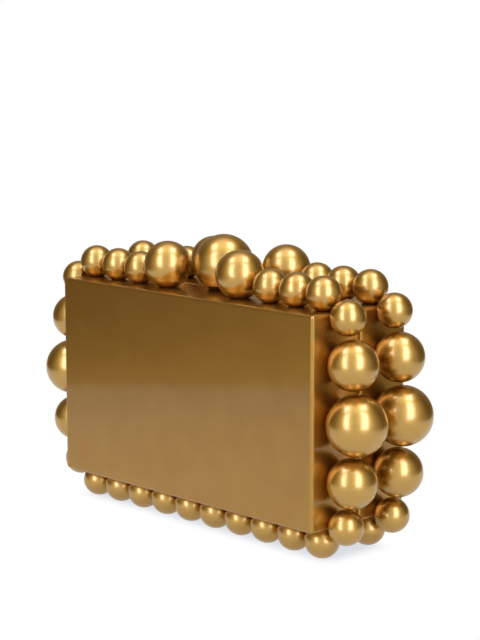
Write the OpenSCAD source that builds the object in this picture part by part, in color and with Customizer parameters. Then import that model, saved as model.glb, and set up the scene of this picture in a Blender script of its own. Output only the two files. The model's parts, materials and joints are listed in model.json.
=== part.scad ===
// Hard-shell evening bag: a box clutch of two hinged trays, trimmed with rows of ball beads.
// It stands on its bottom beads at z = 0. X runs along the width, the front faces -Y,
// and the seam is at y = 0.

/* [Box] */
// Width of the box, without beads
box_w = 180; // [150:1:220]
// Height of the box, without beads
box_h = 102; // [84:1:124]
// Depth of both halves together
box_d = 64; // [54:1:80]
// Thickness of the walls and panels
wall = 3; // [2.5:0.1:4]
// Rounding of the outer edges
edge_r = 1.3; // [0.6:0.1:2.4]
// Gap between the two halves when shut
seam_gap = 0.3; // [0.2:0.1:0.6]
// Reach of the rear half's lip past the seam
lip_reach = 2.5; // [1.5:0.1:4]
// Thickness of the lip
lip_t = 1.2; // [0.8:0.1:2]
// Clearance between the lip and the front half
lip_gap = 0.3; // [0.2:0.1:0.6]

/* [Beads] */
// Diameter of the small beads
small_d = 17; // [14:0.1:21]
// Diameter of the medium beads
medium_d = 24; // [20:0.1:29]
// Diameter of the large beads
large_d = 29; // [24:0.1:35]
// Depth of the flat glue seat on the side beads
side_seat = 1.5; // [0.4:0.1:2]
// Depth of the flat glue seat on the top beads
top_seat = 0.7; // [0.4:0.1:2]
// Depth of the flat glue seat on the bottom beads
bottom_seat = 1.1; // [0.4:0.1:2]
// Smallest gap between neighbouring beads of one row
bead_gap = 0.3; // [0.2:0.1:1]
// Smallest gap between the front and the rear large beads
pair_gap = 1; // [0.6:0.1:4]
// How far the end beads of the top and bottom rows stand past the box's sides
row_overhang = 0.3; // [0:0.1:2]
// Distance of a side column's end beads from the box's top and bottom, at their centres
column_inset = 1.8; // [0:0.1:6]
// Diameter of the dowels that hold the beads
dowel_d = 3; // [2:0.1:4]
// Depth of the dowels in the wall
dowel_in_wall = 1.8; // [1:0.1:2.2]
// Depth of the dowels in the bead
dowel_in_bead = 4; // [2:0.1:6]

/* [Hinges] */
// Distance from the middle of the box to the middle of each hinge
hinge_x = 50; // [30:1:65]
// Length of each hinge
hinge_len = 30; // [24:1:40]
// Thickness of the leaves
leaf_t = 1; // [0.8:0.1:1.2]
// Gap between a leaf and the beads beside it
leaf_gap = 1.2; // [0.6:0.1:2]
// Outer diameter of the knuckles
knuckle_d = 3.6; // [3:0.1:4]
// Diameter of the hinge pins
pin_d = 1.8; // [1.4:0.1:2]
// Running clearance of the pins, on the radius
pin_fit = 0.05; // [0.02:0.01:0.08]
// Gap between neighbouring knuckles
knuckle_gap = 0.3; // [0.2:0.1:0.5]
// Gap between the knuckles and the box
knuckle_lift = 0.4; // [0.3:0.1:0.8]

/* [Rivets] */
// Diameter of the rivets' shanks
rivet_d = 2; // [1.5:0.1:2.2]
// Diameter of the rivets' heads
rivet_head_d = 3.8; // [3:0.1:4.4]
// Height of the rivets' heads
rivet_head_h = 0.8; // [0.5:0.1:1]

/* [Clasp] */
// Diameter of the clasp ball
clasp_ball_d = 30; // [25:0.1:36]
// How far the ball's sphere dips below the top of the box
clasp_sink = 2.3; // [1:0.1:4]
// Place of the ball, from the seam towards the rear
clasp_y = -1.8; // [-3:0.1:2]
// Smallest gap between the ball and the front beads beside it
clasp_bead_gap = 2.7; // [2:0.1:6]
// Width of the tab and its bracket
tab_w = 13; // [11:0.1:18]
// Thickness of the tab
tab_t = 2.4; // [1.2:0.1:3]
// Distance from the seam to the tab's front edge
tab_front = 6.5; // [5.5:0.1:9]
// Gap between the tab and the box
tab_lift = 0.2; // [0.1:0.1:0.5]
// Outer diameter of the clasp's knuckles
clasp_knuckle_d = 2.4; // [2.2:0.1:3]
// Diameter of the clasp's pin
clasp_pin_d = 1.2; // [1:0.1:1.4]
// Width of the tab's own knuckle
tab_knuckle_w = 5; // [4:0.1:7]
// Gap between the ball and the clasp's knuckles
clasp_knuckle_gap = 0.4; // [0.3:0.1:1]
// Length of the bracket's plate behind its knuckles
bracket_len = 8; // [6:0.1:10]
// Thickness of the bracket's plate
bracket_t = 1; // [0.8:0.1:1.4]
// Distance between the bracket's two rivets
bracket_rivet_pitch = 7; // [5:0.1:9]
// Diameter of the screw that holds the ball
screw_d = 3; // [2:0.1:4]
// Diameter of the screw's countersunk head
screw_head_d = 5.6; // [4:0.1:7]
// Length of the screw inside the ball
screw_in_ball = 9; // [6:0.1:12]
// Diameter of the magnet
magnet_d = 5; // [4:0.1:6]
// Distance from the seam to the magnet's near edge
magnet_inset = 1.2; // [0.8:0.1:2]

/* [Hidden] */

$fn = 64;
eps = 0.01;
front = -1;
rear = 1;
left = -1;
right = 1;
small_r = small_d / 2;
medium_r = medium_d / 2;
large_r = large_d / 2;
dowel_r = dowel_d / 2;

// Heights of the box above the surface that the bottom beads stand on
base_z = small_d - bottom_seat;
mid_z = base_z + box_h / 2;
top_z = base_z + box_h;

// Each row of beads runs along the middle of its half's wall, clear of the other half's large beads
row_y = max(box_d / 4, large_r + pair_gap / 2);

// Side columns, from the large bead in the middle outwards: one medium bead, then small beads to the end
column_end = box_h / 2 - column_inset;
column_room = column_end - large_r - medium_d - small_r;
column_smalls = floor((column_room - bead_gap) / (small_d + bead_gap)) + 1;
column_gap = column_smalls > 0
    ? (column_room - (column_smalls - 1) * small_d) / (column_smalls + 1)
    : bead_gap;
column_medium = large_r + column_gap + medium_r;
column_first = column_medium + medium_r + column_gap + small_r;
column_small_at = [
    for (i = [0 : 1 : column_smalls - 1]) column_first + i * (small_d + column_gap)
];

// Bottom row: small beads all along
row_end = box_w / 2 - small_r + row_overhang;
bottom_count = floor(2 * row_end / (small_d + bead_gap)) + 1;
bottom_pitch = 2 * row_end / (bottom_count - 1);
bottom_at = [for (i = [0 : bottom_count - 1]) -row_end + i * bottom_pitch];

// Clasp ball, its tab and the line that it tips about
clasp_r = clasp_ball_d / 2;
clasp_up = clasp_r - clasp_sink;
tab_top = tab_lift + tab_t;
clasp_knuckle_r = clasp_knuckle_d / 2;
pivot_lift = tab_lift + 0.1;
pivot_up = clasp_knuckle_r + pivot_lift;
ball_to_pivot = clasp_r + clasp_knuckle_r + clasp_knuckle_gap;
pivot_y = clasp_y + sqrt(pow(ball_to_pivot, 2) - pow(clasp_up - pivot_up, 2));

// Top row: a medium bead on each side of the clasp ball, then small beads to the end
ball_to_bead = clasp_r + medium_r + clasp_bead_gap;
top_medium = sqrt(pow(ball_to_bead, 2) - pow(row_y + clasp_y, 2) - pow(clasp_up - medium_r + top_seat, 2));
top_first = top_medium + medium_r + bead_gap + small_r;
top_steps = max(1, floor((row_end - top_first) / (small_d + bead_gap)));
top_spread = (row_end - top_medium - medium_r - small_r - top_steps * small_d) / (top_steps + 1);
top_small_at = [
    for (i = [0 : top_steps]) row_end - i * (small_d + top_spread)
];

// Hinge line under the seam, and the leaves between the bottom rows
knuckle_r = knuckle_d / 2;
hinge_z = base_z - knuckle_r - knuckle_lift;
bead_foot = sqrt(pow(small_r, 2) - pow(small_r - bottom_seat - leaf_t, 2));
leaf_reach = row_y - bead_foot - leaf_gap;
leaf_root = knuckle_r + knuckle_lift;
knuckle_w = hinge_len / 3;
hinge_rivet_y = (leaf_root + leaf_reach) / 2;
hinge_rivet_x = hinge_len / 2 - rivet_head_d;
magnet_y = -(seam_gap / 2 + magnet_inset + magnet_d / 2);
bracket_rivet_y = pivot_y + clasp_knuckle_r + bracket_len / 2;

// A rectangle with round corners, centred
module round_rect(size, r) {
    square([size.x - 2 * r, size.y], center = true);
    square([size.x, size.y - 2 * r], center = true);
    for (x = [-1, 1], y = [-1, 1])
        translate([x * (size.x / 2 - r), y * (size.y / 2 - r)])
            circle(r);
}

// The whole box with every edge rounded, centred on the seam's middle
module box_solid() {
    intersection() {
        rotate([90, 0, 0])
            linear_extrude(box_d, center = true)
                round_rect([box_w, box_h], edge_r);
        rotate([90, 0, 90])
            linear_extrude(box_w, center = true)
                round_rect([box_d, box_h], edge_r);
        linear_extrude(box_h, center = true)
            round_rect([box_w, box_d], edge_r);
    }
}

// Sets its children on one wall: z points away from the wall, and the origin is on its outer face
module on_top(x, side) {
    translate([x, side * row_y, top_z])
        children();
}

module on_bottom(x, side) {
    translate([x, side * row_y, base_z])
        rotate([180, 0, 0])
            children();
}

module on_side(hand, up, side) {
    translate([hand * box_w / 2, side * row_y, mid_z + up])
        rotate([0, hand * 90, 0])
            children();
}

// A bead with its flat seat at z = 0 and its dowel hole
module bead(r, seat) {
    difference() {
        translate([0, 0, r - seat])
            sphere(r);
        translate([0, 0, -r])
            cube(2 * r, center = true);
        translate([0, 0, -eps])
            cylinder(h = dowel_in_bead + eps, r = dowel_r);
    }
}

module dowel() {
    translate([0, 0, -dowel_in_wall])
        cylinder(h = dowel_in_wall + dowel_in_bead, r = dowel_r);
}

module dowels(side) {
    for (x = top_small_at, hand = [left, right])
        on_top(hand * x, side)
            dowel();
    for (hand = [left, right]) {
        on_top(hand * top_medium, side)
            dowel();
        on_side(hand, 0, side)
            dowel();
        for (end = [-1, 1]) {
            on_side(hand, end * column_medium, side)
                dowel();
            for (up = column_small_at)
                on_side(hand, end * up, side)
                    dowel();
        }
    }
    for (x = bottom_at)
        on_bottom(x, side)
            dowel();
}

module bead_dowels(side) {
    color("goldenrod")
        dowels(side);
}

module upper_small_beads(side) {
    color("darkgoldenrod") {
        for (x = top_small_at, hand = [left, right])
            on_top(hand * x, side)
                bead(small_r, top_seat);
        for (up = column_small_at, hand = [left, right])
            on_side(hand, up, side)
                bead(small_r, side_seat);
    }
}

module lower_small_beads(side) {
    color("darkgoldenrod") {
        for (x = bottom_at)
            on_bottom(x, side)
                bead(small_r, bottom_seat);
        for (up = column_small_at, hand = [left, right])
            on_side(hand, -up, side)
                bead(small_r, side_seat);
    }
}

module top_medium_beads(side) {
    color("darkgoldenrod")
        for (hand = [left, right])
            on_top(hand * top_medium, side)
                bead(medium_r, top_seat);
}

module side_medium_beads(side, hand) {
    color("darkgoldenrod")
        for (end = [-1, 1])
            on_side(hand, end * column_medium, side)
                bead(medium_r, side_seat);
}

module side_large_bead(side, hand) {
    color("darkgoldenrod")
        on_side(hand, 0, side)
            bead(large_r, side_seat);
}

// A rivet along z: its countersunk head ends at z = 0, and its clinched head lies past the stack
module rivet(stack, play = 0) {
    head_r = rivet_head_d / 2;
    clinched_r = 0.7 * head_r;
    cylinder(h = stack + rivet_head_h, r = rivet_d / 2 + play);
    cylinder(h = rivet_head_h, r1 = head_r, r2 = rivet_d / 2);
    if (play == 0)
        translate([0, 0, stack])
            cylinder(h = rivet_head_h, r1 = head_r, r2 = clinched_r);
}

// Places of the hinge rivets of one half, with z pointing up into the box
module at_hinge_rivets(side) {
    for (hand = [left, right], end = [-1, 1])
        translate([hand * hinge_x + end * hinge_rivet_x, side * hinge_rivet_y, base_z - leaf_t])
            children();
}

// Places of the bracket's rivets, with z pointing down into the box
module at_bracket_rivets() {
    for (hand = [left, right])
        translate([hand * bracket_rivet_pitch / 2, bracket_rivet_y, top_z + bracket_t])
            rotate([180, 0, 0])
                children();
}

// One half's tray, with the holes for its dowels
module tray(side) {
    difference() {
        translate([0, 0, mid_z])
            box_solid();
        translate([-box_w, side > 0 ? seam_gap / 2 - box_d : -seam_gap / 2, base_z - 1])
            cube([2 * box_w, box_d, box_h + 2]);
        translate([0, 0, mid_z])
            cube([box_w - 2 * wall, box_d - 2 * wall, box_h - 2 * wall], center = true);
        dowels(side);
    }
}

// A frame that fits inside the walls, from one depth to another
module inner_frame(gap, y0, y1) {
    outer = [box_w - 2 * wall - 2 * gap, box_h - 2 * wall - 2 * gap];
    inner = [outer.x - 2 * lip_t, outer.y - 2 * lip_t];
    translate([0, y1, mid_z])
        rotate([90, 0, 0])
            linear_extrude(y1 - y0)
                difference() {
                    square(outer, center = true);
                    square(inner, center = true);
                }
}

module rear_shell() {
    color("peru")
        difference() {
            union() {
                tray(rear);
                inner_frame(0, seam_gap / 2, seam_gap / 2 + 2 * lip_t);
                inner_frame(lip_gap, seam_gap / 2 - lip_reach, seam_gap / 2 + 2 * lip_t);
            }
            at_hinge_rivets(rear)
                rivet(leaf_t + wall, pin_fit);
            at_bracket_rivets()
                rivet(bracket_t + wall, pin_fit);
        }
}

module front_shell() {
    color("peru")
        difference() {
            tray(front);
            at_hinge_rivets(front)
                rivet(leaf_t + wall, pin_fit);
            translate([0, magnet_y, top_z - wall - eps])
                cylinder(h = wall + 2 * eps, r = magnet_d / 2);
        }
}

// One leaf of a hinge with its knuckles; the rear leaf has the two outer ones
module hinge_leaf(side, hand) {
    outer = side > 0;
    knuckle_len = outer ? knuckle_w : knuckle_w - 2 * knuckle_gap;
    bore_r = outer ? pin_d / 2 : pin_d / 2 + pin_fit;
    plate_y = side > 0 ? leaf_root : -leaf_reach;
    bridge_y = side > 0 ? 0 : -leaf_root - eps;
    color("gold")
        difference() {
            union() {
                translate([hand * hinge_x - hinge_len / 2, plate_y, base_z - leaf_t])
                    cube([hinge_len, leaf_reach - leaf_root, leaf_t]);
                for (i = outer ? [-1, 1] : [0])
                    translate([hand * hinge_x + i * knuckle_w - knuckle_len / 2, 0, 0]) {
                        translate([0, 0, hinge_z])
                            rotate([0, 90, 0])
                                cylinder(h = knuckle_len, r = knuckle_r);
                        translate([0, bridge_y, base_z - leaf_t])
                            cube([knuckle_len, leaf_root + eps, leaf_t]);
                    }
            }
            translate([hand * hinge_x - hinge_len, 0, hinge_z])
                rotate([0, 90, 0])
                    cylinder(h = 2 * hinge_len, r = bore_r);
            at_hinge_rivets(side)
                rivet(leaf_t + wall, pin_fit);
        }
}

module hinge_pin(hand) {
    color("gold")
        translate([hand * hinge_x - hinge_len / 2, 0, hinge_z])
            rotate([0, 90, 0])
                cylinder(h = hinge_len, r = pin_d / 2);
}

module hinge_rivets(side) {
    color("gold")
        at_hinge_rivets(side)
            rivet(leaf_t + wall);
}

// The clasp ball, cut flat where it stands on the tab
module clasp_ball() {
    color("darkgoldenrod")
        difference() {
            translate([0, clasp_y, top_z + clasp_up])
                sphere(clasp_r);
            translate([0, clasp_y, top_z + tab_top - clasp_r])
                cube(2 * clasp_r, center = true);
            translate([0, clasp_y, top_z + tab_top - eps])
                cylinder(h = screw_in_ball + eps, r = screw_d / 2);
        }
}

module clasp_screw_shape() {
    translate([0, clasp_y, top_z + tab_lift]) {
        cylinder(h = tab_t + screw_in_ball, r = screw_d / 2);
        cylinder(h = tab_t, r1 = screw_head_d / 2, r2 = screw_d / 2);
    }
}

module clasp_ball_screw() {
    color("silver")
        clasp_screw_shape();
}

module clasp_axis_cylinder(len, r) {
    translate([-len / 2, pivot_y, top_z + pivot_up])
        rotate([0, 90, 0])
            cylinder(h = len, r = r);
}

module clasp_tab() {
    plate_back = pivot_y - clasp_knuckle_r - clasp_knuckle_gap;
    bridge_step = 0.2;
    color("sienna")
        difference() {
            union() {
                translate([-tab_w / 2, -tab_front, top_z + tab_lift])
                    cube([tab_w, tab_front + plate_back, tab_t]);
                translate([-tab_knuckle_w / 2, plate_back - eps, top_z + tab_lift + bridge_step])
                    cube([tab_knuckle_w, pivot_y - plate_back + eps, tab_t - bridge_step]);
                clasp_axis_cylinder(tab_knuckle_w, clasp_knuckle_r);
            }
            clasp_axis_cylinder(2 * tab_w, clasp_pin_d / 2 + pin_fit);
            clasp_screw_shape();
        }
}

module clasp_bracket() {
    ear_w = (tab_w - tab_knuckle_w) / 2 - knuckle_gap;
    plate_front = pivot_y + clasp_knuckle_r + clasp_knuckle_gap;
    color("gold")
        difference() {
            union() {
                translate([-tab_w / 2, plate_front, top_z])
                    cube([tab_w, bracket_len, bracket_t]);
                for (hand = [left, right])
                    translate([hand * (tab_w - ear_w) / 2, 0, 0]) {
                        clasp_axis_cylinder(ear_w, clasp_knuckle_r);
                        translate([-ear_w / 2, pivot_y, top_z])
                            cube([ear_w, plate_front - pivot_y + eps, bracket_t]);
                    }
            }
            clasp_axis_cylinder(2 * tab_w, clasp_pin_d / 2);
            at_bracket_rivets()
                rivet(bracket_t + wall, pin_fit);
        }
}

module clasp_pin() {
    color("gold")
        clasp_axis_cylinder(tab_w, clasp_pin_d / 2);
}

module clasp_rivets() {
    color("gold")
        at_bracket_rivets()
            rivet(bracket_t + wall);
}

module clasp_magnet() {
    color("silver")
        translate([0, magnet_y, top_z - wall])
            cylinder(h = wall, r = magnet_d / 2);
}

rear_shell();
front_shell();
upper_small_beads(front);  // front_upper_small_beads
lower_small_beads(front);  // front_lower_small_beads
top_medium_beads(front);  // front_top_medium_beads
side_medium_beads(front, left);  // front_left_medium_beads
side_medium_beads(front, right);  // front_right_medium_beads
side_large_bead(front, left);  // front_left_large_bead
side_large_bead(front, right);  // front_right_large_bead
bead_dowels(front);  // front_bead_dowels
upper_small_beads(rear);  // rear_upper_small_beads
lower_small_beads(rear);  // rear_lower_small_beads
top_medium_beads(rear);  // rear_top_medium_beads
side_medium_beads(rear, left);  // rear_left_medium_beads
side_medium_beads(rear, right);  // rear_right_medium_beads
side_large_bead(rear, left);  // rear_left_large_bead
side_large_bead(rear, right);  // rear_right_large_bead
bead_dowels(rear);  // rear_bead_dowels
hinge_leaf(rear, left);  // left_hinge_rear_leaf
hinge_leaf(front, left);  // left_hinge_front_leaf
hinge_pin(left);  // left_hinge_pin
hinge_leaf(rear, right);  // right_hinge_rear_leaf
hinge_leaf(front, right);  // right_hinge_front_leaf
hinge_pin(right);  // right_hinge_pin
hinge_rivets(rear);  // rear_hinge_rivets
hinge_rivets(front);  // front_hinge_rivets
clasp_ball();
clasp_tab();
clasp_ball_screw();
clasp_bracket();
clasp_pin();
clasp_rivets();
clasp_magnet();
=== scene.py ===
import json
import math
import bpy
from mathutils import Matrix, Vector


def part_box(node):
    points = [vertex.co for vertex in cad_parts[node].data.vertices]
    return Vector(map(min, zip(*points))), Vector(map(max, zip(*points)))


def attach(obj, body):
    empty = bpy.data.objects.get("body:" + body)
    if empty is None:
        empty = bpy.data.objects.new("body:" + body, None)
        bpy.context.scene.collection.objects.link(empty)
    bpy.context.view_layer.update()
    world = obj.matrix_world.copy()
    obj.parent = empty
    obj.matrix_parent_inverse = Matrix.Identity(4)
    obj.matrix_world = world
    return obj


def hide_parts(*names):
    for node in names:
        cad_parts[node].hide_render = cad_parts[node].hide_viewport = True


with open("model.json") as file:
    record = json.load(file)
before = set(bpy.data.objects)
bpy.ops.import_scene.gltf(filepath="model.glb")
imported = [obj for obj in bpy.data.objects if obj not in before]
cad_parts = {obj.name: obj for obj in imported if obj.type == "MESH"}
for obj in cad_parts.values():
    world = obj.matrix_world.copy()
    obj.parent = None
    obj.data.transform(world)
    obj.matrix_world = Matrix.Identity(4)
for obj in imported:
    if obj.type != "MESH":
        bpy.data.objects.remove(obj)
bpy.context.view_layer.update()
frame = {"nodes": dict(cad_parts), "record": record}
mm = 0.001
mergeGap = 0.001 * mm
sharpAngle = 40  # degrees, past which an edge is broken by a bevel
front = -1  # the half towards -y
rear = 1
halfName = {front: "front", rear: "rear"}
record = frame["record"]
bodyOf = {node: body for body, nodes in record["behaviour"]["bodies"].items() for node in nodes}
slotOf = {part["node"]: part["material_slot"] for part in record["subparts"]}
boxMiddle = (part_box("front_shell")[0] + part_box("rear_shell")[1]) / 2


# Modelling helpers: edit mode, operators and copies

def pickOnly(*pieces):
    bpy.ops.object.select_all(action="DESELECT")
    for piece in pieces:
        piece.select_set(True)
    bpy.context.view_layer.objects.active = pieces[0]


def startEdit(piece, kind="FACE"):
    pickOnly(piece)
    bpy.ops.object.mode_set(mode="EDIT")
    bpy.ops.mesh.select_mode(type=kind)
    bpy.ops.mesh.select_all(action="DESELECT")


def endEdit():
    bpy.ops.object.mode_set(mode="OBJECT")


def pickFaces(piece, wanted):
    # chooses the faces for which wanted(centre, normal) is true, and stays in edit mode
    startEdit(piece)
    endEdit()
    for face in piece.data.polygons:
        face.select = bool(wanted(face.center, face.normal))
    bpy.ops.object.mode_set(mode="EDIT")


def pickEdges(piece, wanted):
    # chooses the edges for which wanted(oneEnd, otherEnd) is true, and stays in edit mode
    startEdit(piece, "EDGE")
    endEdit()
    corners = piece.data.vertices
    for edge in piece.data.edges:
        a, b = (corners[i].co for i in edge.vertices)
        edge.select = bool(wanted(a, b))
    bpy.ops.object.mode_set(mode="EDIT")


def near(a, b, slack=0.01 * mm):
    return abs(a - b) < slack


def extrude(x=0, y=0, z=0):
    bpy.ops.mesh.extrude_region_move(TRANSFORM_OT_translate={"value": (x, y, z)})


def settle(piece):
    # the piece's place goes into its mesh
    pickOnly(piece)
    bpy.ops.object.transform_apply(location=True, rotation=True, scale=True)


def applyModifier(piece, kind, **settings):
    pickOnly(piece)
    modifier = piece.modifiers.new(kind.title(), kind)
    for name, value in settings.items():
        setattr(modifier, name, value)
    bpy.ops.object.modifier_apply(modifier=modifier.name)


def smoothShade(piece, angle=35):
    pickOnly(piece)
    bpy.ops.object.shade_smooth_by_angle(angle=math.radians(angle))


def copyOf(piece, name, place=None):
    copy = piece.copy()
    copy.data = piece.data.copy()
    copy.name = copy.data.name = name
    copy.parent = None
    copy.hide_render = copy.hide_viewport = False
    bpy.context.scene.collection.objects.link(copy)
    if place is not None:
        copy.data.transform(place)
    return copy


def joinAll(pieces, name):
    pickOnly(*pieces)
    if len(pieces) > 1:
        bpy.ops.object.join()
    pieces[0].name = pieces[0].data.name = name
    return pieces[0]


def discard(*pieces):
    for piece in pieces:
        bpy.data.objects.remove(piece)


def looseParts(node):
    # lowest and highest corners of each separate solid in a CAD node, from a merged copy
    copy = copyOf(frame["nodes"][node], node + "_parts")
    startEdit(copy, "VERT")
    bpy.ops.mesh.select_all(action="SELECT")
    bpy.ops.mesh.remove_doubles(threshold=mergeGap)
    bpy.ops.mesh.separate(type="LOOSE")
    endEdit()
    parts = list(bpy.context.selected_objects)
    boxes = []
    for part in parts:
        corners = [corner.co for corner in part.data.vertices]
        low = Vector([min(corner[i] for corner in corners) for i in range(3)])
        high = Vector([max(corner[i] for corner in corners) for i in range(3)])
        boxes.append((low, high))
    discard(*parts)
    return boxes


def turned(profile, steps=32):
    # a lathe-turned piece: profile is a list of (radius, height) in mm, from axis to axis
    bpy.ops.mesh.primitive_plane_add(size=mm)
    piece = bpy.context.object
    startEdit(piece, "VERT")
    bpy.ops.mesh.select_all(action="SELECT")
    bpy.ops.mesh.merge(type="CENTER")
    bpy.ops.transform.translate(value=(profile[0][0] * mm, 0, profile[0][1] * mm))
    for (r0, h0), (r1, h1) in zip(profile, profile[1:]):
        extrude(x=(r1 - r0) * mm, z=(h1 - h0) * mm)
    bpy.ops.mesh.select_all(action="SELECT")
    bpy.ops.mesh.spin(steps=steps, angle=math.tau, center=(0, 0, 0), axis=(0, 0, 1))
    bpy.ops.mesh.select_all(action="SELECT")
    bpy.ops.mesh.remove_doubles(threshold=2 * mergeGap)
    bpy.ops.mesh.normals_make_consistent(inside=False)
    endEdit()
    smoothShade(piece)
    return piece


def standing(foot, direction):
    # the matrix that stands a piece made along z on foot, pointing in direction
    turn = Vector((0, 0, 1)).rotation_difference(direction).to_matrix().to_4x4()
    return Matrix.Translation(foot) @ turn


def oddAxis(size):
    # the axis along which a round piece's box differs from the other two
    spread = [abs(size[(i + 1) % 3] - size[(i + 2) % 3]) for i in range(3)]
    return spread.index(min(spread))


def roundPlaces(node):
    # radius, length and placing matrix, from the inside of the box outwards, of each round solid
    places = []
    for low, high in looseParts(node):
        size = high - low
        axis = oddAxis(size)
        outward = 1 if (low[axis] + high[axis]) / 2 > boxMiddle[axis] else -1
        foot = (low + high) / 2
        foot[axis] = low[axis] if outward > 0 else high[axis]
        direction = Vector([outward if i == axis else 0 for i in range(3)])
        places.append((size[(axis + 1) % 3] / 2, size[axis], standing(foot, direction)))
    return places


def copiesOf(node, make):
    # make(radius, length) models each size of a node's round solids once, and copies take their places
    masters = {}
    copies = []
    for radius, length, place in roundPlaces(node):
        size = (round(radius / mm, 1), round(length / mm, 1))
        if size not in masters:
            masters[size] = make(radius, length)
        copies.append(copyOf(masters[size], node, place))
    discard(*masters.values())
    return joinAll(copies, node)


def chamferedProfile(radius, length, chamfer):
    return [(0, 0), (radius - chamfer, 0), (radius, chamfer), (radius, length - chamfer),
            (radius - chamfer, length), (0, length)]


def softened(node, width):
    # a merged copy of a CAD node with its facets joined and its edges broken by a small round
    piece = copyOf(frame["nodes"][node], node + "_softened")
    startEdit(piece, "VERT")
    bpy.ops.mesh.select_all(action="SELECT")
    bpy.ops.mesh.remove_doubles(threshold=mergeGap)
    bpy.ops.mesh.dissolve_limited(angle_limit=math.radians(0.5))
    endEdit()
    applyModifier(piece, "BEVEL", width=width * mm, segments=2, limit_method="ANGLE",
                  angle_limit=math.radians(sharpAngle))
    smoothShade(piece, sharpAngle)
    applyModifier(piece, "WEIGHTED_NORMAL", keep_sharp=True)
    return piece


def cut(piece, cutters):
    cutter = joinAll(cutters, "cutter")
    applyModifier(piece, "BOOLEAN", operation="DIFFERENCE", solver="EXACT", object=cutter)
    discard(cutter)


def finishPiece(piece, material, node):
    # the modelled piece takes its node's place, body and slot
    for key in list(piece.keys()):
        del piece[key]
    piece.name = piece.data.name = "modelled_" + node
    piece.data.materials.clear()
    piece.data.materials.append(material)
    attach(piece, bodyOf[node])
    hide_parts(node)


# Materials

def toLinear(hexColour):
    channels = [int(hexColour[i:i + 2], 16) / 255 for i in (1, 3, 5)]
    linear = [c / 12.92 if c <= 0.04045 else ((c + 0.055) / 1.055) ** 2.4 for c in channels]
    return (*linear, 1)


def addNode(tree, kind, inputs=None, **settings):
    node = tree.nodes.new(kind)
    for name, value in settings.items():
        setattr(node, name, value)
    for socket, value in (inputs or {}).items():
        if isinstance(value, bpy.types.NodeSocket):
            tree.links.new(value, node.inputs[socket])
        else:
            node.inputs[socket].default_value = value
    return node


def newMaterial(name):
    material = bpy.data.materials.new(name)
    material.use_nodes = True
    tree = material.node_tree
    shader = tree.nodes["Principled BSDF"]
    place = addNode(tree, "ShaderNodeTexCoord").outputs["Object"]
    return material, tree, shader, place


def speckle(tree, place, size, detail=2):
    # noise whose spots are about size across
    return addNode(tree, "ShaderNodeTexNoise", {"Vector": place, "Scale": 1 / size, "Detail": detail})


def between(tree, factor, low, high):
    # noise mostly lies from 0.3 to 0.7
    span = {"Value": factor, "From Min": 0.3, "From Max": 0.7, "To Min": low, "To Max": high}
    return addNode(tree, "ShaderNodeMapRange", span).outputs["Result"]


def metalFinish(tree, shader, look, tone, grain):
    # tone runs between the look's two colours, and grain sets the roughness and the bump
    tint = addNode(tree, "ShaderNodeMix", {"Factor": tone, "A": toLinear(look["deep"]),
                                           "B": toLinear(look["pale"])}, data_type="RGBA")
    rough = between(tree, grain, look["rough"] - look["roughSpan"], look["rough"] + look["roughSpan"])
    bump = addNode(tree, "ShaderNodeBump", {"Height": grain, "Strength": look["bump"],
                                            "Distance": look["bumpHeight"] * mm})
    tree.links.new(tint.outputs["Result"], shader.inputs["Base Color"])
    tree.links.new(rough, shader.inputs["Roughness"])
    tree.links.new(bump.outputs["Normal"], shader.inputs["Normal"])
    shader.inputs["Metallic"].default_value = 1


def satinGoldLacquer(name, look):
    # moulded acrylic, vacuum metallised and sprayed with a satin tinted lacquer: a soft metal
    # shine with a fine pearly grain, and a faint cloudiness where the spray lies thicker
    material, tree, shader, place = newMaterial(name)
    cloud = speckle(tree, place, look["cloud"] * mm).outputs["Fac"]
    grain = speckle(tree, place, look["grain"] * mm, 3).outputs["Fac"]
    metalFinish(tree, shader, look, cloud, grain)
    shader.inputs["Coat Weight"].default_value = look["coat"]
    shader.inputs["Coat Roughness"].default_value = look["coatRough"]
    shader.inputs["Coat IOR"].default_value = look["coatIor"]
    return material


def brushedMetal(name, look):
    # metal brushed along its length, then plated or lacquered: fine streaks that spread the shine
    material, tree, shader, place = newMaterial(name)
    along, across = 1 / (look["streak"] * mm), 1 / (look["line"] * mm)
    stretched = addNode(tree, "ShaderNodeMapping", {"Vector": place, "Scale": (along, across, across)})
    lines = speckle(tree, stretched.outputs["Vector"], 1, 3).outputs["Fac"]
    metalFinish(tree, shader, look, lines, lines)
    return material


def acrylicRod(name, look):
    # cast acrylic sawn to length: clear, with a faint haze of saw marks
    material, tree, shader, place = newMaterial(name)
    haze = speckle(tree, place, look["haze"] * mm).outputs["Fac"]
    rough = between(tree, haze, look["rough"] - look["roughSpan"], look["rough"] + look["roughSpan"])
    tree.links.new(rough, shader.inputs["Roughness"])
    shader.inputs["Base Color"].default_value = toLinear(look["colour"])
    shader.inputs["IOR"].default_value = look["ior"]
    shader.inputs["Transmission Weight"].default_value = look["clear"]
    return material


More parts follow.
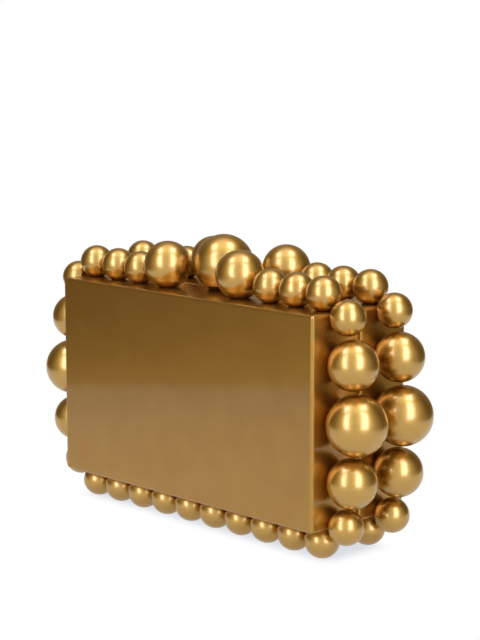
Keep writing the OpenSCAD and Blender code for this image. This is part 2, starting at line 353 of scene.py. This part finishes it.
# sizes in mm: cloud and grain, streak and line, haze and bumpHeight; the grain is drawn as coarse
# as it has to be to show
shellGoldLook = {"deep": "#B08135", "pale": "#BE9240", "cloud": 14, "grain": 0.5, "rough": 0.36,
                 "roughSpan": 0.04, "bump": 0.14, "bumpHeight": 0.012, "coat": 0.75, "coatIor": 1.6,
                 "coatRough": 0.085}
beadGoldLook = {"deep": "#C4983E", "pale": "#D0A54C", "cloud": 5, "grain": 0.5, "rough": 0.36,
                "roughSpan": 0.05, "bump": 0.18, "bumpHeight": 0.018, "coat": 1, "coatIor": 1.7,
                "coatRough": 0.13}
brassLook = {"deep": "#A67B34", "pale": "#C89A4C", "streak": 8, "line": 0.15, "rough": 0.26,
             "roughSpan": 0.06, "bump": 0.2, "bumpHeight": 0.01}
bronzeLook = {"deep": "#5A3016", "pale": "#6E3D1B", "streak": 8, "line": 0.15, "rough": 0.28,
              "roughSpan": 0.06, "bump": 0.2, "bumpHeight": 0.01}
zincLook = {"deep": "#A9ACAE", "pale": "#C9CCCF", "streak": 3, "line": 0.3, "rough": 0.3,
            "roughSpan": 0.08, "bump": 0.2, "bumpHeight": 0.01}
nickelLook = {"deep": "#B4AFA6", "pale": "#CBC6BC", "streak": 2, "line": 0.8, "rough": 0.14,
              "roughSpan": 0.04, "bump": 0.1, "bumpHeight": 0.01}
acrylicLook = {"colour": "#F2EFE8", "haze": 0.4, "rough": 0.15, "roughSpan": 0.06, "ior": 1.49,
               "clear": 0.9}
shellGold = satinGoldLacquer("satinGoldLacquerOnShell", shellGoldLook)
beadGold = satinGoldLacquer("satinGoldLacquerOnBeads", beadGoldLook)
brushedBrass = brushedMetal("brushedLacqueredBrass", brassLook)
platedBronze = brushedMetal("bronzePlatedBrushedSteel", bronzeLook)
platedZinc = brushedMetal("zincPlatedSteel", zincLook)
platedNickel = brushedMetal("nickelPlatedMagnet", nickelLook)
clearAcrylic = acrylicRod("castClearAcrylic", acrylicLook)
print("materials made")


# Beads

beadLook = {"segments": 64, "rings": 32, "dowel": 3, "socket": 4, "dowelChamfer": 0.3,
            "dowelSteps": 24}


def makeBead(radius, seat, hole, depth):
    # its flat seat lies at z = 0, with the hole for its dowel or screw in it
    bpy.ops.mesh.primitive_uv_sphere_add(segments=beadLook["segments"], ring_count=beadLook["rings"],
                                         radius=radius, location=(0, 0, radius - seat))
    bead = bpy.context.object
    settle(bead)
    startEdit(bead)
    bpy.ops.mesh.select_all(action="SELECT")
    bpy.ops.mesh.bisect(plane_co=(0, 0, 0), plane_no=(0, 0, 1), use_fill=True, clear_inner=True)
    endEdit()
    pickFaces(bead, lambda centre, normal: near(centre.z, 0) and normal.z < -0.9)
    seatRadius = math.sqrt(radius ** 2 - (radius - seat) ** 2)
    bpy.ops.mesh.inset(thickness=seatRadius - hole * mm / 2)
    extrude(z=depth * mm)
    endEdit()
    smoothShade(bead)
    return bead


def makeBeads(node, hole, depth):
    beads = copiesOf(node, lambda radius, length: makeBead(radius, 2 * radius - length, hole, depth))
    finishPiece(beads, beadGold, node)


def makeRods(node, profileFor, material, steps=32):
    # a node's rods are turned from one profile, which gets the rod's radius and length in mm
    rods = copiesOf(node, lambda radius, length: turned(profileFor(radius / mm, length / mm), steps))
    finishPiece(rods, material, node)


def dowelProfile(radius, length):
    return chamferedProfile(radius, length, beadLook["dowelChamfer"])


beadGroups = ["upper_small_beads", "lower_small_beads", "top_medium_beads", "left_medium_beads",
              "right_medium_beads", "left_large_bead", "right_large_bead"]
for side in (front, rear):
    for group in beadGroups:
        makeBeads(f"{halfName[side]}_{group}", beadLook["dowel"], beadLook["socket"])
    makeRods(halfName[side] + "_bead_dowels", dowelProfile, clearAcrylic, beadLook["dowelSteps"])
print("beads made")


# Shells

shellLook = {"wall": 3, "seamGap": 0.3, "edge": 1.6, "edgeSteps": 5, "inside": 0.8, "insideSteps": 4,
             "rim": 0.1, "lipReach": 2.5, "lipGap": 0.3, "lip": 1.2, "lipRoot": 2.4, "holeSteps": 32,
             "holes": {"dowel": 3, "hinge_brass": 2.1, "magnet": 5}}
holesIn = {"front_shell": ["front_bead_dowels", "front_hinge_rivets", "clasp_magnet"],
           "rear_shell": ["rear_bead_dowels", "rear_hinge_rivets", "clasp_rivets"]}


def holeCutters(node, radius):
    # a rod through the wall for each round solid of a node
    cutters = []
    for _, length, place in roundPlaces(node):
        bpy.ops.mesh.primitive_cylinder_add(vertices=shellLook["holeSteps"], radius=radius,
                                            depth=length, location=(0, 0, length / 2))
        rod = bpy.context.object
        settle(rod)
        rod.data.transform(place)
        cutters.append(rod)
    return cutters


def makeShell(side):
    wall = shellLook["wall"] * mm
    name = halfName[side] + "_shell"
    low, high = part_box(name)
    seam = side * shellLook["seamGap"] * mm / 2
    back = high.y if side > 0 else low.y
    size = Vector((high.x - low.x, abs(back - seam), high.z - low.z))
    centre = Vector(((low.x + high.x) / 2, (back + seam) / 2, (low.z + high.z) / 2))
    bpy.ops.mesh.primitive_cube_add(size=1, location=centre, scale=size)
    shell = bpy.context.object
    settle(shell)
    pickFaces(shell, lambda middle, normal: normal.y * side < -0.9)
    floor = back - side * wall
    if side == front:
        bpy.ops.mesh.inset(thickness=wall)
        extrude(y=floor - seam)
    else:
        # a lip that reaches into the front half stands round the mouth, and the pocket widens behind it
        gap, lip = shellLook["lipGap"] * mm, shellLook["lip"] * mm
        bpy.ops.mesh.inset(thickness=wall + gap)
        extrude(y=-shellLook["lipReach"] * mm)
        bpy.ops.mesh.inset(thickness=lip)
        rootEnd = seam + shellLook["lipRoot"] * mm
        extrude(y=rootEnd - seam + shellLook["lipReach"] * mm)
        extrude()
        inner = [size.x - 2 * (wall + gap + lip), size.z - 2 * (wall + gap + lip)]
        grow = ((size.x - 2 * wall) / inner[0], 1, (size.z - 2 * wall) / inner[1])
        bpy.ops.transform.resize(value=grow, center_override=centre)
        extrude(y=floor - rootEnd)
    endEdit()
    halfX, halfZ = size.x / 2, size.z / 2

    def outside(point):
        return near(abs(point.x - centre.x), halfX) and near(abs(point.z - centre.z), halfZ)

    def onPanel(point):
        onSide = near(abs(point.x - centre.x), halfX) or near(abs(point.z - centre.z), halfZ)
        return near(point.y, back) and onSide

    pickEdges(shell, lambda a, b: (outside(a) and outside(b)) or (onPanel(a) and onPanel(b)))
    bpy.ops.mesh.bevel(offset=shellLook["edge"] * mm, segments=shellLook["edgeSteps"], affect="EDGES")
    endEdit()
    pocketX, pocketZ = halfX - wall, halfZ - wall

    def inCorner(point):
        return near(abs(point.x - centre.x), pocketX) and near(abs(point.z - centre.z), pocketZ)

    def upright(a, b):
        return inCorner(a) and inCorner(b) and (near(a.y, floor) or near(b.y, floor))

    pickEdges(shell, upright)
    bpy.ops.mesh.bevel(offset=shellLook["inside"] * mm, segments=shellLook["insideSteps"], affect="EDGES")
    endEdit()
    applyModifier(shell, "BEVEL", width=shellLook["rim"] * mm, segments=2, limit_method="ANGLE",
                  angle_limit=math.radians(sharpAngle), use_clamp_overlap=True)
    cutters = []
    for node in holesIn[name]:
        cutters += holeCutters(node, shellLook["holes"][slotOf[node]] * mm / 2)
    cut(shell, cutters)
    smoothShade(shell, 50)
    applyModifier(shell, "WEIGHTED_NORMAL", keep_sharp=True)
    finishPiece(shell, shellGold, name)


makeShell(front)
makeShell(rear)
print("shells made")


# Hinges, rivets and clasp

hingeLook = {"edge": 0.12, "pinEnd": 0.3}
rivetLook = {"shank": 1, "head": 1.9, "headHeight": 0.8, "dimple": 0.45, "dimpleDepth": 0.25}
claspLook = {"edge": 0.15, "screw": 3, "screwInBall": 9, "screwPoint": 0.4, "screwHead": 5.6,
             "headHeight": 2.4, "screwSteps": 48, "keyAcross": 2.4, "keyDepth": 1, "magnetChamfer": 0.25}


def pinProfile(radius, length):
    # a plain pin with domed ends
    end = min(hingeLook["pinEnd"], radius / 2)
    return [(0, 0), (radius - end, 0), (radius - 0.3 * end, 0.3 * end), (radius, end),
            (radius, length - end), (radius - 0.3 * end, length - 0.3 * end), (radius - end, length),
            (0, length)]


def rivetProfile(_, length):
    # a rounded, dimpled clinched end inside the box, the shank, and the flush countersunk head
    head, high, shank = rivetLook["head"], rivetLook["headHeight"], rivetLook["shank"]
    dimple, deep = rivetLook["dimple"], rivetLook["dimpleDepth"]
    clinch = [(0, deep), (dimple, deep), (1.4 * dimple, 0.1 * deep), (0.5 * head, 0),
              (0.75 * head, 0.15 * high), (0.93 * head, 0.5 * high), (head, high)]
    return clinch + [(shank, high), (shank, length - high), (head, length), (0, length)]


def magnetProfile(radius, length):
    return chamferedProfile(radius, length, claspLook["magnetChamfer"])


def screwProfile(length):
    # a countersunk head as high as the tab is thick, and a plain shank with a chamfered point
    head, shank, high = claspLook["screwHead"] / 2, claspLook["screw"] / 2, claspLook["headHeight"]
    point = claspLook["screwPoint"]
    return [(0, 0), (0.95 * head, 0), (head, 0.05 * high), (shank, high), (shank, length - point),
            (shank - point, length), (0, length)]


def makeScrew():
    node = "clasp_ball_screw"
    [(_, length, place)] = roundPlaces(node)
    screw = turned(screwProfile(length / mm), claspLook["screwSteps"])
    depth = claspLook["keyDepth"] * mm
    bpy.ops.mesh.primitive_cylinder_add(vertices=6, radius=claspLook["keyAcross"] * mm / 2, depth=2 * depth)
    cut(screw, [bpy.context.object])  # the hexagon socket
    smoothShade(screw)
    screw.data.transform(place)
    finishPiece(screw, platedZinc, node)


for hand in ("left", "right"):
    for leaf in ("rear_leaf", "front_leaf"):
        node = f"{hand}_hinge_{leaf}"
        finishPiece(softened(node, hingeLook["edge"]), brushedBrass, node)
    makeRods(f"{hand}_hinge_pin", pinProfile, brushedBrass)
for node in ("rear_hinge_rivets", "front_hinge_rivets", "clasp_rivets"):
    makeRods(node, rivetProfile, brushedBrass)
makeRods("clasp_pin", pinProfile, brushedBrass)
makeRods("clasp_magnet", magnetProfile, platedNickel)
finishPiece(softened("clasp_bracket", claspLook["edge"]), brushedBrass, "clasp_bracket")
finishPiece(softened("clasp_tab", claspLook["edge"]), platedBronze, "clasp_tab")
makeBeads("clasp_ball", claspLook["screw"], claspLook["screwInBall"])
makeScrew()
print("hinges, rivets and clasp made")


# Camera

cameraLook = {"lens": 100.93, "sensor": 36, "azimuth": 45.99, "elevation": 9.15, "distance": 0.8913,
              "target": (0.0096, 0, 0.1033), "clip": (0.01, 20)}


def towards(azimuth, elevation):
    # a direction that looks back at the object: azimuth 0 is in front, 90 is to the right
    a, e = math.radians(azimuth), math.radians(elevation)
    return Vector((math.sin(a) * math.cos(e), -math.cos(a) * math.cos(e), math.sin(e)))


def makeCamera():
    data = bpy.data.cameras.new("camera")
    data.lens = cameraLook["lens"]
    data.sensor_width = cameraLook["sensor"]
    data.clip_start, data.clip_end = cameraLook["clip"]
    camera = bpy.data.objects.new("camera", data)
    bpy.context.scene.collection.objects.link(camera)
    back = towards(cameraLook["azimuth"], cameraLook["elevation"])
    camera.location = Vector(cameraLook["target"]) + cameraLook["distance"] * back
    camera.rotation_euler = back.to_track_quat("Z", "Y").to_euler()
    bpy.context.scene.camera = camera


makeCamera()


# Floor and light

# the floor's reach is in metres, its drop and the shade's sizes in mm
floorLook = {"halfWidth": 0.39, "front": 1.2, "behind": 2.5, "drop": 0.3, "colour": "#98968A",
             "rough": 0.9, "shine": 0.1, "glow": 0.4}
shadeLook = {"colour": "#DBDDE2", "size": (192, 54), "fade": 15, "drop": 0.1}
# soft boxes on each side of the camera's line, in metres: how far to the side, how wide, and where
# each one starts and ends, as distance from the object towards the camera and height above the floor
boxSides = [("left", -0.95, 0.68), ("right", 0.62, 0.64)]
boxSpans = [("standing", (1.25, 0), (0.7, 1.45)), ("overhead", (0.54, 1.6), (-0.38, 2.05))]
boxRadiance = 2.7
boxColour = (0.95, 0.97, 1.3)  # slightly cool, which whitens the strips on the gold
# the studio's radiance by angle from the camera's side, in degrees, and that straight above, which
# starts and is full at these heights of a unit direction
wallLight = [(180, (0.3, 0.23, 0.15)), (160, (0.27, 0.2, 0.12)), (145, (0.22, 0.16, 0.09)),
             (116, (0.11, 0.065, 0.025)), (97, (0.15, 0.1, 0.05)), (81, (0.33, 0.26, 0.15)),
             (67, (0.4, 0.38, 0.3)), (52, (0.5, 0.5, 0.45)), (0, (0.65, 0.65, 0.65))]
ceilingLight = {"starts": 0.8, "full": 0.97, "radiance": (1.35, 1.3, 1.1)}
white = (1, 1, 1, 1)


def makeSheet(name, width, length, turn, place):
    # a flat level sheet that isn't part of the object, and its material's nodes
    bpy.ops.mesh.primitive_plane_add(size=1)
    sheet = bpy.context.object
    sheet.scale = (width, length, 1)
    sheet.rotation_euler = (0, 0, turn)
    sheet.location = place
    settle(sheet)
    sheet.name = name
    material = bpy.data.materials.new(name)
    material.use_nodes = True
    sheet.data.materials.append(material)
    return sheet, material.node_tree


def makeFloor():
    # a lit white acrylic sheet along the camera's line of sight lights the bag from below; the
    # camera sees through it to plain white, so that a half that swings below it still shows
    length = floorLook["front"] + floorLook["behind"]
    middle = towards(cameraLook["azimuth"], 0) * (floorLook["front"] - floorLook["behind"]) / 2
    floor, tree = makeSheet("litWhiteAcrylic", 2 * floorLook["halfWidth"], length,
                            math.radians(cameraLook["azimuth"]),
                            (middle.x, middle.y, -floorLook["drop"] * mm))
    shader = tree.nodes["Principled BSDF"]
    shader.inputs["Base Color"].default_value = toLinear(floorLook["colour"])
    shader.inputs["Roughness"].default_value = floorLook["rough"]
    shader.inputs["Specular IOR Level"].default_value = floorLook["shine"]
    shader.inputs["Emission Color"].default_value = white
    shader.inputs["Emission Strength"].default_value = floorLook["glow"]
    floor.visible_camera = False


def makeShade():
    # the faint shade under the beads: a sheet that dims what is behind it, fades out at its
    # edges, and is clear from below
    fade = shadeLook["fade"] * mm
    size = [side * mm for side in shadeLook["size"]]
    shade, tree = makeSheet("floorShade", *size, 0, (0, 0, -shadeLook["drop"] * mm))
    place = addNode(tree, "ShaderNodeTexCoord").outputs["Object"]
    sides = addNode(tree, "ShaderNodeSeparateXYZ", {0: place}).outputs
    below = addNode(tree, "ShaderNodeNewGeometry").outputs["Backfacing"]
    strength = addNode(tree, "ShaderNodeMath", {0: 1, 1: below}, operation="SUBTRACT").outputs[0]
    for side, span in zip((sides["X"], sides["Y"]), size):
        reach = addNode(tree, "ShaderNodeMath", {0: side}, operation="ABSOLUTE").outputs[0]
        edge = {"Value": reach, "From Min": span / 2 - fade, "From Max": span / 2, "To Min": 1, "To Max": 0}
        soft = addNode(tree, "ShaderNodeMapRange", edge, interpolation_type="SMOOTHSTEP").outputs["Result"]
        strength = addNode(tree, "ShaderNodeMath", {0: strength, 1: soft}, operation="MULTIPLY").outputs[0]
    tint = addNode(tree, "ShaderNodeMix", {"Factor": strength, "A": white,
                                           "B": toLinear(shadeLook["colour"])}, data_type="RGBA")
    clear = addNode(tree, "ShaderNodeBsdfTransparent", {"Color": tint.outputs["Result"]})
    tree.links.new(clear.outputs[0], tree.nodes["Material Output"].inputs["Surface"])
    shade.visible_glossy = shade.visible_diffuse = shade.visible_shadow = shade.visible_transmission = False


def makeSoftBoxes():
    # a standing and an overhead box on each side give each bead its bright strips
    ahead = towards(cameraLook["azimuth"], 0)
    right = Vector((-ahead.y, ahead.x, 0))
    up = Vector((0, 0, 1))
    for sideName, offset, width in boxSides:
        for spanName, foot, top in boxSpans:
            start = right * offset + ahead * foot[0] + up * foot[1]
            end = right * offset + ahead * top[0] + up * top[1]
            length = (end - start).length
            along = (end - start).normalized()
            data = bpy.data.lights.new(f"{sideName}_{spanName}_soft_box", "AREA")
            data.shape = "RECTANGLE"
            data.size = width
            data.size_y = length
            data.energy = 4 * width * length * boxRadiance  # an area light's watts for that radiance
            data.color = boxColour
            lamp = bpy.data.objects.new(data.name, data)
            turn = Matrix((right, along, right.cross(along))).transposed().to_4x4()
            lamp.matrix_world = Matrix.Translation((start + end) / 2) @ turn
            lamp.visible_camera = False
            bpy.context.scene.collection.objects.link(lamp)


def makeWorld():
    # the camera sees plain white; the object is lit white from the camera's side, dim and warm
    # from the sides, as in a dark studio, and a little brighter from behind
    world = bpy.data.worlds.new("studio")
    bpy.context.scene.world = world
    world.use_nodes = True
    tree = world.node_tree
    tree.nodes.clear()
    way = addNode(tree, "ShaderNodeTexCoord").outputs["Generated"]
    level = addNode(tree, "ShaderNodeVectorMath", {0: way, 1: (1, 1, 0)}, operation="MULTIPLY")
    level = addNode(tree, "ShaderNodeVectorMath", {0: level.outputs[0]}, operation="NORMALIZE")
    ahead = towards(cameraLook["azimuth"], 0)
    turn = addNode(tree, "ShaderNodeVectorMath", {0: level.outputs[0], 1: ahead}, operation="DOT_PRODUCT")
    share = addNode(tree, "ShaderNodeMapRange", {"Value": turn.outputs["Value"], "From Min": -1,
                                                 "From Max": 1})
    ramp = addNode(tree, "ShaderNodeValToRGB", {"Fac": share.outputs["Result"]})
    points = ramp.color_ramp.elements
    while len(points) < len(wallLight):
        points.new(0.5)
    for point, (angle, colour) in zip(points, wallLight):
        point.position = (math.cos(math.radians(angle)) + 1) / 2
        point.color = (*colour, 1)
    height = addNode(tree, "ShaderNodeSeparateXYZ", {"Vector": way}).outputs["Z"]
    top = addNode(tree, "ShaderNodeMapRange", {"Value": height, "From Min": ceilingLight["starts"],
                                               "From Max": ceilingLight["full"]})
    sky = addNode(tree, "ShaderNodeMix", {"Factor": top.outputs["Result"], "A": ramp.outputs["Color"],
                                          "B": (*ceilingLight["radiance"], 1)}, data_type="RGBA")
    light = addNode(tree, "ShaderNodeBackground", {"Color": sky.outputs["Result"]})
    seen = addNode(tree, "ShaderNodeBackground", {"Color": white})
    ray = addNode(tree, "ShaderNodeLightPath").outputs["Is Camera Ray"]
    mixed = addNode(tree, "ShaderNodeMixShader", {"Fac": ray, 1: light.outputs[0], 2: seen.outputs[0]})
    addNode(tree, "ShaderNodeOutputWorld", {"Surface": mixed.outputs[0]})


makeFloor()
makeShade()
makeSoftBoxes()
makeWorld()
bpy.context.scene.view_settings.view_transform = "Standard"
print("camera, floor and light made")
